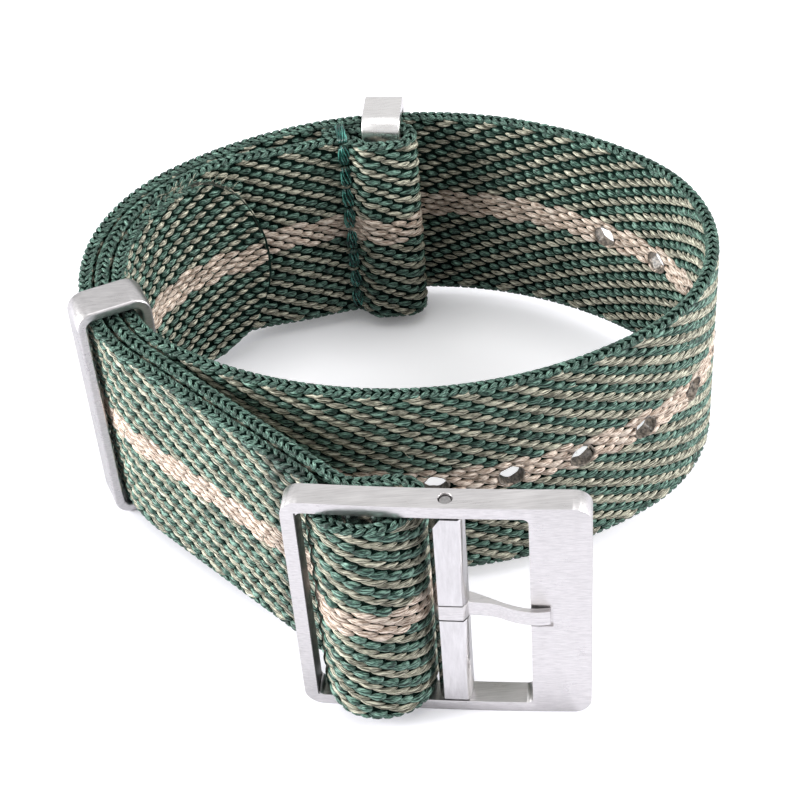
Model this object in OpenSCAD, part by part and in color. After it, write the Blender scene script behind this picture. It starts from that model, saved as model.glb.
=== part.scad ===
// Nylon watch strap, rolled up and standing on its edge.
// One length of woven webbing runs three times round the left side of the
// wrist loop. It is folded and stitched round a sliding ring at the back,
// turns round a bar inside the buckle, and ends in a row of holes and a tail.
// Seen from above, X runs to the right and the buckle lies in front, at -Y.

/* [Webbing] */
// Width of the webbing, which stands upright
web_w = 20; // [16:0.5:24]
// Thickness of the webbing
web_t = 1.25; // [1.1:0.05:1.4]
// Gap between layers that lie on each other
layer_gap = 0.12; // [0.08:0.02:0.24]

/* [Wrist loop] */
// Width of the loop over its outermost layers
loop_w = 53.1; // [52:0.1:57]
// Outer radius of the left side, where three layers lie on each other
left_r = 17.1; // [16.8:0.05:18]
// Outer radius of the right side, which is a single layer
right_r = 15.1; // [14.5:0.1:17]
// How far the left side's centre lies behind the right side's centre
left_back = 0.75; // [-1:0.05:2]
// Outer radius of the back
back_r = 32; // [30:0.1:36]
// Outer radius of the front, behind the buckle
front_r = 32.3; // [31:0.1:36]
// Direction from the left side's centre to where the layers leave for the buckle
leave_a = 222.2; // [221:0.2:226]

/* [Tongue holes] */
// Number of holes in the centre stripe
hole_n = 10; // [6:1:10]
// Distance from hole to hole
hole_pitch = 6; // [5.5:0.1:6.5]
// Diameter of a hole
hole_d = 2; // [1.6:0.1:2.4]
// Distance from the end of the right side to the foremost hole
hole_first = 24.8; // [22:0.2:26]

/* [Tail] */
// Radius to which the tail curls, at its middle
tail_r = 12.3; // [11.5:0.1:12.8]
// Direction from the left side's centre to where the tail begins to curl
tail_curl_a = 150; // [145:1:160]
// Direction from the curl's centre to the end of the tail
tail_a = 93.5; // [88:0.5:105]
// Length of the rounded end
tail_tip_l = 6.5; // [4:0.5:8]

/* [Stitched fold] */
// Direction from the back's centre to the sliding ring
ring_a = 89.1; // [85:0.1:95]
// Distance from the ring's middle to the stitches
stitch_back = 3.85; // [3.85:0.05:4.5]
// Length of the flap behind the stitches
flap_l = 1.7; // [1.2:0.1:2.2]
// Distance from the ring's middle to where the inner ply meets the outer layer
ply_reach = 17; // [15:0.5:18]
// Length over which it comes there
ply_ease = 9; // [7:0.5:9]
// Number of stitches across the webbing
stitch_n = 8; // [6:1:10]
// Thickness of the sewing thread
thread_d = 0.55; // [0.4:0.05:0.7]
// How deep a stitch sinks into the webbing
thread_sink = 0.2; // [0.1:0.05:0.25]
// Clear length left between a stitch and the webbing's edge
stitch_margin = 0.6; // [0.4:0.1:1]

/* [Sliding ring] */
// Length of the ring along the webbing
ring_l = 3.4; // [3:0.1:3.5]
// Thickness of its two upright bars
ring_bar_t = 0.9; // [0.7:0.05:1]
// Clearance between its bars and the webbing
ring_clear = 0.4; // [0.35:0.05:0.45]
// Turn of the ring on the webbing, seen from above
ring_yaw = -7; // [-7:0.5:7]
// Rounding of its outer corners
ring_round = 1.4; // [0.8:0.1:1.8]

/* [Keeper] */
// Direction from the left side's centre to the keeper
keeper_a = 199.5; // [190:0.5:206]
// Length of the keeper along the webbing
keeper_l = 3.3; // [3:0.1:4.5]
// Thickness of its walls
keeper_wall = 0.85; // [0.7:0.05:1]
// Clearance between its walls and the three layers
keeper_clear = 0.3; // [0.25:0.02:0.45]
// Rounding of its outer corners
keeper_round = 1.5; // [0.8:0.1:1.7]

/* [Buckle frame] */
// Position of the spring bar to the right of the loop's middle
pin_x = 1.8; // [1.2:0.1:2.4]
// Distance of the spring bar in front of the left side's centre
pin_front = 31; // [30.4:0.1:32]
// Turn of the buckle, seen from above
buckle_yaw = -8.6; // [-10:0.2:-6]
// Thickness of the frame from front to back
frame_t = 2; // [1.8:0.1:2.4]
// Height of the rails at the top and the bottom
rail_h = 1.05; // [1:0.05:1.3]
// Clearance between the rails and the webbing's edges
edge_clear = 0.2; // [0.15:0.05:0.4]
// Width of the left bar
left_bar_w = 1.1; // [0.9:0.1:1.6]
// Width of the right bar, on which the tongue rests
right_bar_w = 4.5; // [4:0.1:6]
// Clear width between the left bar and the sleeves
left_window = 9.5; // [9.3:0.05:9.8]
// Clear width between the sleeves and the right bar
right_window = 4.6; // [4.5:0.05:6]
// Radius to which the frame is arched
arch_r = 250; // [150:10:400]
// Rounding of the frame's outer corners
frame_round = 1.4; // [0.8:0.1:2]
// Rounding of the frame's inner corners
window_round = 0.5; // [0.3:0.1:0.8]
// Length of the seat for the tongue in the right bar
seat_l = 1.65; // [1.5:0.05:2.2]
// Depth of that seat
seat_depth = 0.35; // [0.25:0.05:0.8]
// Clearance above and below the tongue in its seat
seat_clear = 0.5; // [0.3:0.1:0.7]
// Clearance between the tongue's tip and the end of its seat
seat_end_clear = 0.2; // [0.1:0.05:0.4]

/* [Loop bar] */
// Width of the fixed bar that the webbing turns round
loop_bar_w = 3; // [2.4:0.1:3.2]
// Thickness of that bar
loop_bar_t = 1.6; // [1.2:0.1:1.8]
// Width of the flat left on that bar's rounded sides
loop_bar_flat = 0.1; // [0.1:0.05:0.4]
// Clearance between the webbing's turn and that bar
loop_bar_clear = 0.4; // [0.35:0.05:0.6]
// Clearance between the webbing's turn and the frame's left bar
turn_left_clear = 0.5; // [0.3:0.05:0.7]
// Clearance between the webbing's turn and the sleeves
turn_right_clear = 0.45; // [0.25:0.05:0.5]
// Radius at which the webbing runs into its turn
turn_in_r = 3.5; // [3:0.1:4]
// Radius at the right end of the turn
turn_end_r = 1.2; // [1:0.1:1.5]
// Radius at which the webbing leaves its turn
turn_out_r = 2.5; // [2:0.1:3]

/* [Spring bar and sleeves] */
// Outer radius of the sleeves
sleeve_r = 1.35; // [1.25:0.05:1.5]
// Distance of the sleeves' flat front from their axis
sleeve_flat = 1; // [0.95:0.01:1.1]
// Gap between a sleeve and the rail
sleeve_gap = 0.2; // [0.15:0.05:0.4]
// Bevel of a sleeve's corners at the rail
sleeve_bevel = 0.35; // [0.2:0.05:0.45]
// Width of the cut at the upper sleeve's left corner, where the tip can be reached
reach_w = 0.95; // [0.8:0.05:1.1]
// Height of that cut
reach_h = 1.5; // [1.2:0.1:2]
// Radius of the barrel
barrel_r = 0.74; // [0.7:0.01:0.78]
// Radius of the barrel's bore
barrel_bore_r = 0.5; // [0.46:0.01:0.52]
// Running clearance of the turning and sliding parts
run_clear = 0.06; // [0.04:0.01:0.08]
// Diameter of the holes in the rails for the tips
pin_hole_d = 1.1; // [1:0.02:1.2]
// Radius of a tip's pin
tip_r = 0.42; // [0.36:0.01:0.44]
// How far a tip's pin stays below the outside of the rail
tip_recess = 0.2; // [0.1:0.05:0.3]
// Thickness of a tip's shoulder
shoulder_h = 0.35; // [0.25:0.05:0.45]
// Travel of a tip into the barrel
tip_travel = 1; // [0.95:0.01:1.1]
// Length of a tip's shank inside the barrel
shank_l = 4; // [3:0.1:5]
// Thickness of the spring's wire
spring_wire = 0.2; // [0.15:0.01:0.25]

/* [Tongue] */
// Height of the tongue's hub
hub_h = 1.5; // [1.4:0.05:2]
// Gap between the hub and the sleeves
hub_gap = 0.12; // [0.08:0.02:0.2]
// Height of the tongue's arm
arm_h = 1.45; // [1.2:0.05:1.5]
// Thickness of the arm at its root
arm_root_t = 1.15; // [0.9:0.05:1.3]
// Thickness of the arm at its tip
arm_tip_t = 0.42; // [0.35:0.01:0.6]
// How far behind the spring bar's axis the arm's back lies at its root
arm_root_y = 0.85; // [0.6:0.05:0.9]
// Share of the arm's length over which it thins
arm_thinning = 0.45; // [0.3:0.05:1]
// How far the arm bows forward between root and tip
arm_bow = 0.5; // [0.2:0.05:0.55]

/* [Hidden] */

// Longest straight facet of the webbing, and its largest turn on a tight bend
facet_l = 1.6;
facet_a = 15;
round_fn = 48;
arch_fn = 720;
// Smallest rounding of a ring's inner corners
inner_round = 0.3;
// Extra length by which a cut passes the faces it cuts
cut = 1;

web_green = [0.2, 0.42, 0.35];
thread_green = [0.04, 0.25, 0.22];
steel = [0.78, 0.77, 0.75];
bright_steel = [0.85, 0.85, 0.86];

// Heights: every metal part stands on the ground and holds the webbing clear of it
frame_h = web_w + 2 * (edge_clear + rail_h);
web_z = edge_clear + rail_h;
mid_z = frame_h / 2;

// Radii of the webbing's centre line, layer 0 innermost and layer 2 outermost
pitch = web_t + layer_gap;
function left_layer_r(layer) = left_r - web_t / 2 - (2 - layer) * pitch;
function back_layer_r(layer) = back_r - web_t / 2 - (2 - layer) * pitch;
right_mid_r = right_r - web_t / 2;
front_mid_r = front_r - web_t / 2;

function polar(r, a) = r * [cos(a), sin(a)];
function angle_of(v) = (atan2(v[1], v[0]) + 360) % 360;
function turned(v, a) = [v[0] * cos(a) - v[1] * sin(a), v[0] * sin(a) + v[1] * cos(a)];

// Centre of a circle that lies d1 from c1 and d2 from c2, on the side given by +1 or -1
function centre_between(c1, d1, c2, d2, side) =
    let (v = c2 - c1, l = norm(v), u = v / l,
         a = (d1 * d1 - d2 * d2 + l * l) / (2 * l),
         h = sqrt(d1 * d1 - a * a))
    c1 + a * u + side * h * [-u[1], u[0]];

// Centres of the four sides of the loop
left_c = [left_r - loop_w / 2, 0];
right_c = [loop_w / 2 - right_r, -left_back];
back_c = centre_between(left_c, back_layer_r(2) - left_layer_r(2),
                        right_c, back_layer_r(2) - right_mid_r, -1);
front_c = centre_between(left_c, front_mid_r - left_layer_r(0),
                         right_c, front_mid_r - right_mid_r, 1);

// Directions in which one side of the loop passes into the next
back_left_a = angle_of(left_c - back_c);
back_right_a = angle_of(right_c - back_c);
front_right_a = angle_of(right_c - front_c) - 360;
front_left_a = angle_of(left_c - front_c) - 360;

// The buckle's own frame has the spring bar at its origin
pin_at = [pin_x, -pin_front];
function on_buckle(v) = pin_at + turned(v, buckle_yaw);
left_in_x = -sleeve_r - left_window;
left_out_x = left_in_x - left_bar_w;
right_in_x = sleeve_r + right_window;
right_out_x = right_in_x + right_bar_w;
frame_w = right_out_x - left_out_x;
frame_mid_x = (right_out_x + left_out_x) / 2;

// The webbing's turn round the loop bar, with room on both sides of it
turn_r = (left_window - turn_left_clear - turn_right_clear - web_t) / 2;
turn_x = left_in_x + turn_left_clear + web_t / 2 + turn_r;
loop_bar_x = turn_x;
turn_c = on_buckle([turn_x, turn_r - web_t / 2 - loop_bar_t / 2 - loop_bar_clear]);
to_buckle = polar(1, leave_a + 90);
inward = polar(1, leave_a + 180);
// Distance inward from the turn's centre to the straight stretch of a layer
function straight_off(layer) =
    (left_c + polar(left_layer_r(layer), leave_a) - turn_c) * inward;
turn_in_off = straight_off(2) - turn_in_r;
turn_in_c = turn_c + inward * turn_in_off
    - to_buckle * sqrt(pow(turn_r + turn_in_r, 2) - pow(turn_in_off, 2));
turn_in_a = angle_of(turn_in_c - turn_c);
turn_end_c = turn_c + [turn_r - turn_end_r, 0];
rear_y = turn_c[1] + turn_end_r;
leave_heading = leave_a - 270;
turn_out_meet = left_c + polar(left_layer_r(1), leave_a)
    + to_buckle * (rear_y - (left_c + polar(left_layer_r(1), leave_a))[1]) / to_buckle[1];
turn_out_c = [turn_out_meet[0] + turn_out_r * tan(-leave_heading / 2), rear_y + turn_out_r];

// The stitched fold: distances along the back from the sliding ring's middle
fold_r = web_t / 2 + ring_clear + ring_bar_t / 2;
fold_end = ring_l / 2 - ring_bar_t / 2;
fold_r_out = back_layer_r(1);
fold_c = back_c + polar(fold_r_out - fold_r, ring_a - along_back(fold_end));
ply_touch = 0.05;
// The fold stays open to just before the end of the ring's inner bar
fold_open = ring_l / 2 - ring_clear;
flap_end = stitch_back + flap_l;
function along_back(s) = s / back_layer_r(2) * 180 / PI;
function ease(u) = (1 - cos(180 * min(max(u, 0), 1))) / 2;
// Inward distance of the inner ply from the outer ply
function ply_off(s) =
    s > -stitch_back
        ? web_t + ply_touch + (2 * fold_r - web_t - ply_touch)
            * ease((s + stitch_back - stitch_half) / (stitch_back - stitch_half - fold_open))
        : (web_t + ply_touch) * ease((s + ply_reach) / ply_ease);
stitch_half = 0.2;

// A station is [x, y, heading]; arcs turn left where the angle grows
function steps(r, a) = max(2, ceil(max(abs(a) * r * PI / 180 / facet_l, abs(a) / facet_a)));
function arc(c, r, a0, a1, skip = 1) =
    let (n = steps(r, a1 - a0), s = a1 > a0 ? 1 : -1)
    [for (i = [skip:n])
        let (a = a0 + (a1 - a0) * i / n, p = c + polar(r, a)) [p[0], p[1], a + 90 * s]];
// The inner ply follows the back at a changing distance from it
ply_n = 36;
function ply_point(s) =
    back_c + polar(fold_r_out - ply_off(s), ring_a - along_back(s));
inner_ply = [for (i = [1:ply_n])
    let (s = fold_end - (fold_end + ply_reach) * i / ply_n, step = 0.01,
         p = ply_point(s), d = ply_point(s - step) - p)
    [p[0], p[1], atan2(d[1], d[0])]];

// The tail curls round a centre of its own
tail_c = left_c + polar(left_layer_r(0) - tail_r, tail_curl_a);

// The webbing's centre line, from the flap in the fold to the end of the tail
centre_line = concat(
    arc(back_c, fold_r_out, ring_a + along_back(flap_end), ring_a - along_back(fold_end), 0),
    arc(fold_c, fold_r, ring_a - along_back(fold_end), ring_a - along_back(fold_end) - 180),
    inner_ply,
    arc(back_c, back_layer_r(1), ring_a + along_back(ply_reach), back_left_a),
    arc(left_c, left_layer_r(1), back_left_a, leave_a),
    arc(turn_out_c, turn_out_r, leave_heading - 90, -90, 0),
    arc(turn_end_c, turn_end_r, 90, 0, 0),
    arc(turn_c, turn_r, 0, turn_in_a - 360),
    arc(turn_in_c, turn_in_r, turn_in_a - 180, leave_a - 180),
    arc(left_c, left_layer_r(2), leave_a, back_left_a, 0),
    arc(back_c, back_layer_r(2), back_left_a, back_right_a),
    arc(right_c, right_mid_r, back_right_a, front_right_a),
    arc(front_c, front_mid_r, front_right_a, front_left_a),
    arc(left_c, left_layer_r(0), front_left_a + 360, tail_curl_a),
    arc(tail_c, tail_r, tail_curl_a, tail_a));

function edge(side) = [for (p = centre_line)
    [p[0], p[1]] + side * polar(web_t / 2, p[2] + 90)];
function backwards(list) = [for (i = [len(list) - 1:-1:0]) list[i]];

// Angle on the loop of a hole, d after the end of the right side
function hole_c(d) = d > 0 ? front_c : right_c;
function hole_mid_r(d) = d > 0 ? front_mid_r : right_mid_r;
function hole_a(d) = front_right_a - d / hole_mid_r(d) * 180 / PI;

// The ring turns about its inner bar, which lies in the fold
ring_pin = back_c + polar(fold_r_out - fold_r, ring_a);
ring_depth = 2 * (ring_bar_t + ring_clear + web_t) + layer_gap;
function on_ring(v) = ring_pin + turned(v, ring_a + ring_yaw);

// The keeper lies across the three layers
keeper_window = 3 * web_t + 2 * layer_gap + 2 * keeper_clear;
keeper_depth = keeper_window + 2 * keeper_wall;
keeper_mid_r = left_layer_r(1) - keeper_l * keeper_l / 16 / left_layer_r(1);
function on_keeper(v) = left_c + turned([keeper_mid_r, 0] + v, keeper_a);

// The origin lies under the middle of the whole part
arch_dip = arch_r - sqrt(pow(arch_r + frame_t / 2, 2) - pow(frame_w / 2, 2));
back_y = max([for (s = [-1, 1])
    on_ring([ring_depth - ring_bar_t / 2, s * ring_l / 2])[1]]);
front_y = min(turn_c[1] - turn_r - web_t / 2, on_buckle([right_out_x, arch_dip])[1]);
left_x = min([for (s = [-1, 1]) on_keeper([keeper_depth, s * keeper_l] / 2)[0]]);
mid_x = (loop_w / 2 + left_x) / 2;
mid_y = (back_y + front_y) / 2;

module placed() translate([-mid_x, -mid_y, 0]) children();
module at_buckle() placed() translate(pin_at) rotate(buckle_yaw) children();

module round_rect(w, h, r) {
    square([w - 2 * r, h], center = true);
    square([w, h - 2 * r], center = true);
    for (x = [-1, 1], y = [-1, 1])
        translate([x * (w / 2 - r), y * (h / 2 - r)]) circle(r, $fn = round_fn);
}

// A rectangular ring that the webbing runs through, its depth along X
module band(depth, window, wall_x, wall_z, len, r) {
    rotate([90, 0, 0])
        linear_extrude(len, center = true)
            difference() {
                round_rect(depth, frame_h, r);
                round_rect(window, frame_h - 2 * wall_z, max(r - max(wall_x, wall_z), inner_round));
            }
}

// Half an ellipse, as the tail's end is cut
tip_n = 24;
module tip_waste() {
    difference() {
        translate([0, -web_w]) square([tail_tip_l + cut, 2 * web_w]);
        polygon([for (i = [-tip_n:tip_n])
            let (a = 90 * i / tip_n) [tail_tip_l * cos(a), web_w / 2 * sin(a)]]);
    }
}

module strap_webbing() {
    tip_a = tail_tip_l / tail_r * 180 / PI;
    // Distance from the middle of the tip to where its rounding begins
    tip_reach = tail_tip_l - (tail_r - web_t / 2) * sin(tip_a / 2);
    color(web_green) placed() difference() {
        translate([0, 0, web_z])
            linear_extrude(web_w) polygon(concat(edge(1), backwards(edge(-1))));
        for (i = [0:hole_n - 1]) {
            d = hole_first - i * hole_pitch;
            translate(concat(hole_c(d), mid_z)) rotate([0, 90, hole_a(d)])
                translate([0, 0, hole_mid_r(d) - web_t])
                    cylinder(2 * web_t, d = hole_d, $fn = round_fn);
        }
        translate(tail_c) intersection() {
            cylinder(frame_h, r = tail_r + web_t / 2 + layer_gap / 2, $fn = round_fn);
            rotate(tail_a + tip_a / 2) translate([tail_r - web_t, tip_reach, mid_z])
                rotate([90, 0, 90]) mirror([1, 0, 0])
                    linear_extrude(4 * web_t, center = true) tip_waste();
        }
    }
}

// One row of stitches through both plies of the fold
module fold_stitches() {
    stitch_pitch = (web_w - 2 * stitch_margin) / stitch_n;
    face_r = back_layer_r(1) - web_t - ply_touch - web_t / 2;
    thread_r = face_r + thread_sink - thread_d / 2;
    color(thread_green) placed() translate(back_c) rotate(ring_a + along_back(stitch_back)) {
        translate([thread_r, 0, web_z + stitch_margin])
            cylinder(stitch_n * stitch_pitch, d = thread_d, $fn = 24);
        for (i = [0:stitch_n])
            translate([thread_r, 0, web_z + stitch_margin + i * stitch_pitch])
                rotate([0, 90, 0]) cylinder(2 * web_t, d = thread_d * 0.8, $fn = 24);
    }
}

module slider_ring() {
    color(bright_steel) placed()
        translate(ring_pin) rotate(ring_a + ring_yaw)
            translate([(ring_depth - ring_bar_t) / 2, 0, mid_z])
                band(ring_depth, ring_depth - 2 * ring_bar_t, ring_bar_t, rail_h, ring_l,
                     ring_round);
}

module keeper() {
    color(steel) placed()
        translate(left_c) rotate(keeper_a) translate([keeper_mid_r, 0, mid_z])
            band(keeper_depth, keeper_window, keeper_wall, keeper_wall, keeper_l,
                 keeper_round);
}

module buckle_frame() {
    seat_h = arm_h + 2 * seat_clear;
    color(steel) at_buckle() difference() {
        translate([frame_mid_x, 0, mid_z]) rotate([90, 0, 0])
            linear_extrude(4 * frame_t, center = true)
                round_rect(frame_w, frame_h, frame_round);
        translate([frame_mid_x, arch_r, -cut])
            cylinder(frame_h + 2 * cut, r = arch_r - frame_t / 2, $fn = arch_fn);
        translate([frame_mid_x, arch_r, -cut]) difference() {
            cylinder(frame_h + 2 * cut, r = arch_r + 4 * frame_t, $fn = round_fn);
            cylinder(frame_h + 2 * cut, r = arch_r + frame_t / 2, $fn = arch_fn);
        }
        translate([(left_in_x + right_in_x) / 2, 0, mid_z]) rotate([90, 0, 0])
            linear_extrude(6 * frame_t, center = true)
                round_rect(right_in_x - left_in_x, frame_h - 2 * rail_h, window_round);
        translate([right_in_x - cut, -frame_t / 2 - cut, mid_z - seat_h / 2])
            cube([seat_l + cut, cut + seat_depth, seat_h]);
        translate([0, 0, -cut]) cylinder(frame_h + 2 * cut, d = pin_hole_d, $fn = round_fn);
    }
}

module loop_bar() {
    color(steel) at_buckle() translate([loop_bar_x, 0, rail_h])
        linear_extrude(frame_h - 2 * rail_h)
            round_rect(loop_bar_w, loop_bar_t, loop_bar_t / 2 - loop_bar_flat / 2);
}

module spring_bar_barrel() {
    barrel_z = rail_h + run_clear + shoulder_h + tip_travel + run_clear;
    color(bright_steel) at_buckle() translate([0, 0, barrel_z]) difference() {
        cylinder(frame_h - 2 * barrel_z, r = barrel_r, $fn = round_fn);
        translate([0, 0, -cut])
            cylinder(frame_h - 2 * barrel_z + 2 * cut, r = barrel_bore_r, $fn = round_fn);
    }
}

// Height at which the shank of the lower tip ends inside the barrel
shank_end_z = rail_h + 2 * run_clear + shoulder_h + tip_travel + shank_l;

module spring_bar_spring() {
    spring_r = barrel_bore_r - run_clear;
    color(bright_steel) at_buckle() translate([0, 0, shank_end_z]) difference() {
        cylinder(frame_h - 2 * shank_end_z, r = spring_r, $fn = round_fn);
        translate([0, 0, -cut])
            cylinder(frame_h - 2 * shank_end_z + 2 * cut, r = spring_r - spring_wire,
                     $fn = round_fn);
    }
}

// The lower tip: a pin in the rail, a shoulder under the sleeve and a shank
module tip() {
    shoulder_z = rail_h + run_clear;
    translate([0, 0, tip_recess])
        cylinder(shoulder_z + shoulder_h - tip_recess, r = tip_r, $fn = round_fn);
    translate([0, 0, shoulder_z]) cylinder(shoulder_h, r = barrel_r, $fn = round_fn);
    translate([0, 0, shoulder_z])
        cylinder(shank_end_z - shoulder_z, r = barrel_bore_r - run_clear, $fn = round_fn);
}

module spring_bar_tip_lower() {
    color(bright_steel) at_buckle() tip();
}

module spring_bar_tip_upper() {
    color(bright_steel) at_buckle() translate([0, 0, frame_h]) mirror([0, 0, 1]) tip();
}

// A round section with a flat front and the spring bar's bore
module sleeve_section(bore) {
    difference() {
        circle(sleeve_r, $fn = round_fn);
        translate([-sleeve_r - cut, -sleeve_r - cut])
            square([2 * (sleeve_r + cut), sleeve_r + cut - sleeve_flat]);
        circle(bore, $fn = round_fn);
    }
}

// A wedge across the sleeve that cuts its corner at x by w and h
module corner_cut(side, w, h) {
    scale_w = w * (h + cut) / h;
    translate([side * sleeve_r, 0, rail_h + sleeve_gap]) rotate([90, 0, 0])
        linear_extrude(4 * sleeve_r, center = true)
            polygon([[side * cut, -cut], [-side * scale_w, -cut], [0, h], [side * cut, h]]);
}

module lower_sleeve(left_w, left_h) {
    sleeve_z = rail_h + sleeve_gap;
    difference() {
        translate([0, 0, sleeve_z])
            linear_extrude(mid_z - hub_h / 2 - hub_gap - sleeve_z)
                sleeve_section(barrel_r + run_clear);
        corner_cut(1, sleeve_bevel, sleeve_bevel);
        corner_cut(-1, left_w, left_h);
    }
}

module sleeve_lower() {
    color(steel) at_buckle() lower_sleeve(sleeve_bevel, sleeve_bevel);
}

module sleeve_upper() {
    color(steel) at_buckle() translate([0, 0, frame_h]) mirror([0, 0, 1])
        lower_sleeve(reach_w, reach_h);
}

// The arm runs from the hub's front to the seat and bows forward on the way
arm_n = 14;
arm_root_x = barrel_r + run_clear;
arm_end_x = right_in_x + seat_l - seat_end_clear;
arm_seat_y = -frame_t / 2 + seat_depth - run_clear;
function arm_t(u) = arm_root_t + (arm_tip_t - arm_root_t) * ease(u / arm_thinning);
function arm_back(u) =
    arm_root_y + (arm_seat_y - arm_root_y) * ease(u) - arm_bow * sin(180 * u);

module tongue() {
    front = [for (i = [0:arm_n]) let (u = i / arm_n)
        [arm_root_x + (arm_end_x - arm_root_x) * u, arm_back(u) - arm_t(u)]];
    back = [for (i = [arm_n:-1:0]) let (u = i / arm_n)
        [arm_root_x + (arm_end_x - arm_root_x) * u, arm_back(u)]];
    color(bright_steel) at_buckle() difference() {
        union() {
            translate([0, 0, mid_z - hub_h / 2]) linear_extrude(hub_h)
                sleeve_section(barrel_r + run_clear);
            translate([0, 0, mid_z - arm_h / 2]) linear_extrude(arm_h)
                polygon(concat(front, back));
        }
        translate([0, 0, mid_z - hub_h])
            cylinder(2 * hub_h, r = barrel_r + run_clear, $fn = round_fn);
    }
}

strap_webbing();
fold_stitches();
slider_ring();
keeper();
buckle_frame();
loop_bar();
spring_bar_barrel();
spring_bar_spring();
spring_bar_tip_upper();
spring_bar_tip_lower();
sleeve_upper();
sleeve_lower();
tongue();
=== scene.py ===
import math

import bpy
import numpy as np
from mathutils import Matrix, Vector


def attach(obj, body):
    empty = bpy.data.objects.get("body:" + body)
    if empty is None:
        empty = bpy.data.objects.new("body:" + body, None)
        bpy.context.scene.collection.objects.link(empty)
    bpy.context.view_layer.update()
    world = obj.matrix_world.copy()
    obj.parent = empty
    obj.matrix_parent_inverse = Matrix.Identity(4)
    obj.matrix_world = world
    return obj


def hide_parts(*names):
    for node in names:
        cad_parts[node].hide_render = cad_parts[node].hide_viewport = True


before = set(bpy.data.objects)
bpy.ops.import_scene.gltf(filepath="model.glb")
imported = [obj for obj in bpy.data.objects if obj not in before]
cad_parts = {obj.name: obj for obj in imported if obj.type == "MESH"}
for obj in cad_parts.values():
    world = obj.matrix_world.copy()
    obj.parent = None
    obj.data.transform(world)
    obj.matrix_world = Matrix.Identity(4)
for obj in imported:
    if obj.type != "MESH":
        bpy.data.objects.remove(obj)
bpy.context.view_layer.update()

# A nylon watch strap, dressed over its CAD solids: every yarn that floats on the
# faces of the webbing is a small closed leaf, laid along the webbing's middle line.
# Lengths are in millimetres and turned into metres by MM, angles are in degrees.
# Webbing coordinates are (along, out, up): the length along the middle line, the
# distance to the left of it and the height over the floor.

MM = 0.001
WEB_MID = 11.25
WEB_HALF_WIDE = 10.0
WEB_HALF_THICK = 0.625
WEB_END = 288.9

# The webbing's middle line: arcs as centre, radius, first and last angle
LEFT = (-9.1442, 6.0275)
RIGHT = (11.7558, 5.2775)
BACK = (-0.6414, -6.2082)
FRONT = (2.4331, 19.7318)
RING_ANGLE = 89.1
DEGREES_PER_MM = 1.82616
FLAP_RADIUS = 30.005
ROUTE_BEFORE_PLY = [
    (BACK, FLAP_RADIUS, 99.2352, 86.8173),
    ((0.9426, 22.2778), 1.475, 86.8173, -93.1827),
]
ROUTE_AFTER_PLY = [
    (BACK, FLAP_RADIUS, 120.1447, 124.7963),
    (LEFT, 15.105, 124.7963, 222.2),
    ((-3.8653, -18.5596), 2.5, -137.8, -90.0),
    ((-1.178, -22.2596), 1.2, 90.0, 0.0),
    ((-3.628, -22.2596), 3.65, 0.0, -182.7479),
    ((-10.7698, -21.9168), 3.5, -2.7479, 42.2),
    (LEFT, 16.475, 222.2, 124.7963),
    (BACK, 31.375, 124.7963, 42.8144),
    (RIGHT, 14.475, 42.8144, -57.1791),
    (FRONT, 31.675, -57.1791, -130.1909),
    (LEFT, 13.735, 229.8091, 150.0),
    ((-10.387, 6.745), 12.3, 150.0, 93.5),
]
ARC_STEP = 0.12
# The ply under the ring's inner bar opens from the flap and closes again
PLY_FROM, PLY_TO, PLY_POINTS = 1.25, -17.0, 180
PLY_STITCH, PLY_FLAT, PLY_OPEN, PLY_EASE = -3.85, 0.2, 1.3, 9.0
PLY_STEP, PLY_FOLD = 1.3, 2.95

# The turn inside the buckle leans forward at its lower edge, and is a little fuller than its
# solid: TURN_X is the middle of the turn and TURN_HALF half its width
LEAN, LEAN_FROM, LEAN_TO, LEAN_EASE = 1.1, 83.5, 98.0, 5.0
SWELL, SWELL_TO, SWELL_EASE = 0.25, 99.0, 2.0
TURN_X, TURN_HALF = -3.628, 4.3
# The yarns in the hollow behind the turn are darkened: painted shade that stands in for the shadow there
HOLLOW_FROM, HOLLOW_TO, HOLLOW_EASE, HOLLOW_SHADE = 98.3, 104.2, 2.0, 1.3

# The punched holes and the half ellipse of the tail's tip, along the middle line
HOLE_FIRST, HOLE_PITCH, HOLE_COUNT = 188.09, 6.0, 10
HOLE_RIM = 1.1
CORE_HOLE = 1.08
TIP_FROM, TIP_LONG = 282.4, 6.5
# Yarns end at TIP_INSIDE of the tip's ellipse and START_CUT from the webbing's start, and a
# float is left out when its centre is closer than the CLEAR values to a hole, tip or start
TIP_INSIDE, START_CUT = 0.97, 0.02
HOLE_CLEAR, TIP_CLEAR, START_CLEAR = 0.8, 0.98, 0.1

# The weave: rows of floats, every row set on by SHIFT, so that the colours climb over the
# webbing as slanting ropes; the rows near the middle are tan. No row is set on by more
# than ROWS_SPREAD
ROW_PITCH = 0.475
ROWS_EACH_WAY = 20
ROWS_SPREAD = 60
SHIFT = 0.93
REPEAT = 4 * SHIFT
GREEN_AHEAD = 2.06
TAN_AHEAD = 1.86
TAN_ROWS = 2.6
TAN_MID_ROW = 0.5
FLOAT_OUT = 0.4
# By face, outer 1 and inner -1: where its first row starts, and the slope of the floats,
# as lengths along the webbing and the slopes there
FACE_PHASE = {1: 3.3, -1: 2.14}
SLANT = {
    1: ([150, 175, 210, 232, 250], [0.08, 0.0, -0.11, -0.04, 0.04]),
    -1: ([140, 160, 190, 225, 262, 288], [0.1, -0.06, -0.09, -0.05, 0.0, 0.08]),
}
GREEN_SLANT = -0.08
# The outermost khaki floats hook over the selvage: set back, set in, and their slope
HOOK_BACK, HOOK_IN, HOOK_SLANT = 0.35, 0.1, -0.2
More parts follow.
